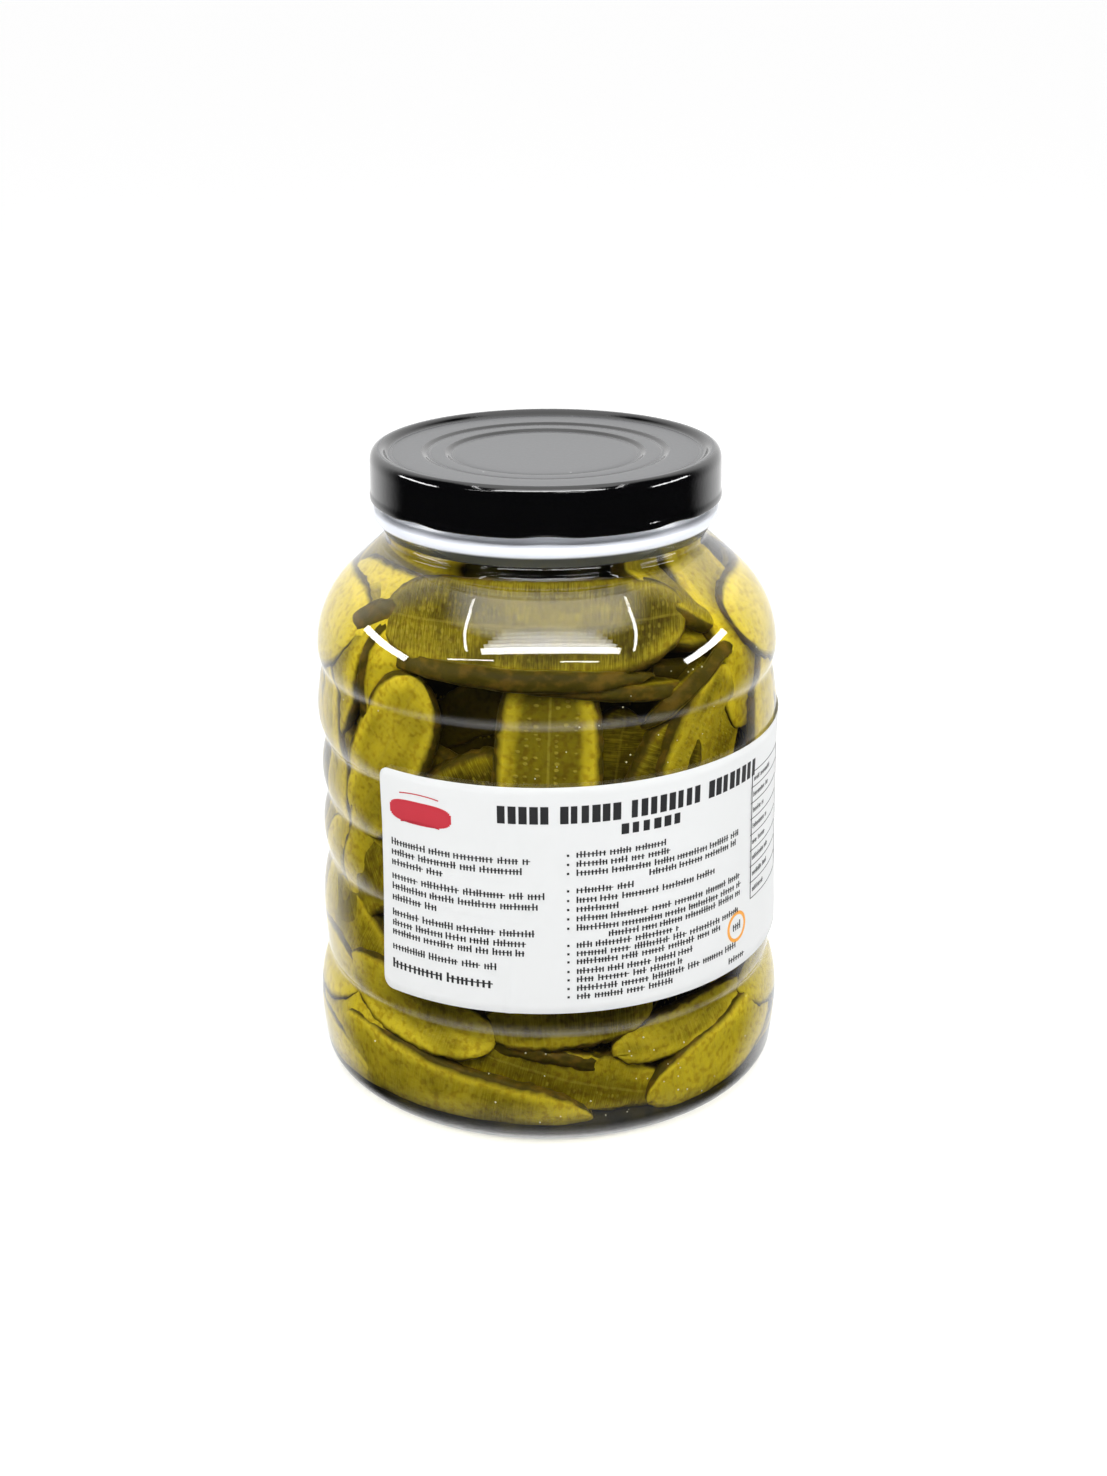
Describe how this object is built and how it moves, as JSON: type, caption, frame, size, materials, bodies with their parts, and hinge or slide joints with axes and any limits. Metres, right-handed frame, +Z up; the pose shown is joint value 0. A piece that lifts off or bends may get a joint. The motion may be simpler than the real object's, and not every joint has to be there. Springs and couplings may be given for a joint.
{
  "type": "jar of pickled gherkins",
  "caption": "Wide-mouth clear plastic jar of long sliced pickled gherkins with ribbed sides, a white neck, a twist-on metal lid and a wrap-around label.",
  "frame": {"origin": "centre of the base, on the surface that the jar stands on", "axes": "+Z up through the middle of the lid, -Y towards the front, where the label starts on the left"},
  "size_m": [0.1524, 0.1524, 0.2047],
  "materials": {
    "clear_plastic": "clear glossy plastic",
    "black_lid": "black lacquer, glossy skirt and satin top",
    "label_paper": "smooth white label stock",
    "pickle_flesh": "wet translucent yellow-green gherkin flesh"
  },
  "bodies": {
    "root": {"jar": "clear_plastic", "lid": "black_lid", "label": "label_paper", "pickles": "pickle_flesh"}
  },
  "joints": []
}
